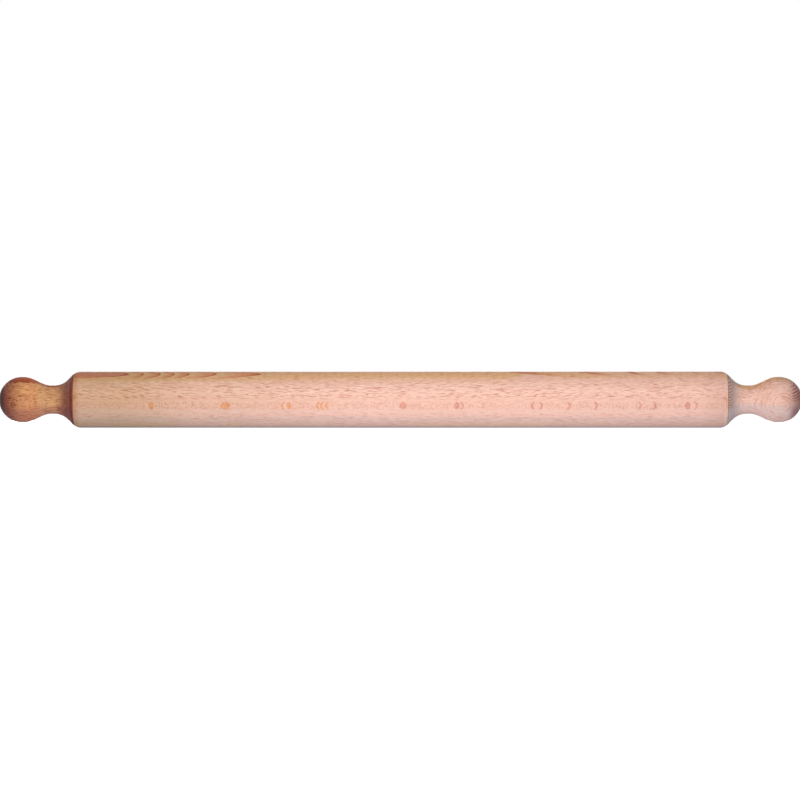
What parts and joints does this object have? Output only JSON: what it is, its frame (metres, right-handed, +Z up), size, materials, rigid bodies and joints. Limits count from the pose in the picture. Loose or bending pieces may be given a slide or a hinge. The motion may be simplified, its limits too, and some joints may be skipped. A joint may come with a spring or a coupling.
{
  "type": "rolling pin",
  "caption": "Long straight beech rolling pin for pasta dough, with a short round knob on a waisted neck at each end; the knobs revolve freely on the barrel.",
  "frame": {"origin": "on the surface that the pin lies on, under the middle of the barrel", "axes": "+X along the pin towards the right knob, +Y away from the viewer of the picture, +Z up"},
  "size_m": [0.65, 0.0454, 0.0454],
  "materials": {
    "barrel_beech": "steamed beech, turned and sanded, unvarnished, pinkish",
    "left_knob_beech": "steamed beech, turned and sanded, unvarnished, orange-brown",
    "right_knob_beech": "steamed beech, turned and sanded, unvarnished, pale tan",
    "ground_steel": "ground shoulder, bright zinc",
    "washer_steel": "pressed, bright zinc",
    "insert_brass": "turned",
    "bush_nylon": "moulded, natural white"
  },
  "bodies": {
    "barrel": {"barrel": "barrel_beech", "left_threaded_insert": "insert_brass", "left_shoulder_bolt": "ground_steel", "left_thrust_washer": "washer_steel", "left_head_washer": "washer_steel", "right_threaded_insert": "insert_brass", "right_shoulder_bolt": "ground_steel", "right_thrust_washer": "washer_steel", "right_head_washer": "washer_steel"},
    "left_knob": {"left_knob": "left_knob_beech", "left_end_plug": "left_knob_beech", "left_inner_bush": "bush_nylon", "left_outer_bush": "bush_nylon"},
    "right_knob": {"right_knob": "right_knob_beech", "right_end_plug": "right_knob_beech", "right_inner_bush": "bush_nylon", "right_outer_bush": "bush_nylon"}
  },
  "joints": [
    {"name": "left_knob_spin", "type": "hinge", "parent": "barrel", "child": "left_knob", "pos_m": [-0.2645, 0, 0.0227], "axis": [1, 0, 0], "continuous": true},
    {"name": "right_knob_spin", "type": "hinge", "parent": "barrel", "child": "right_knob", "pos_m": [0.2645, 0, 0.0227], "axis": [1, 0, 0], "continuous": true}
  ]
}
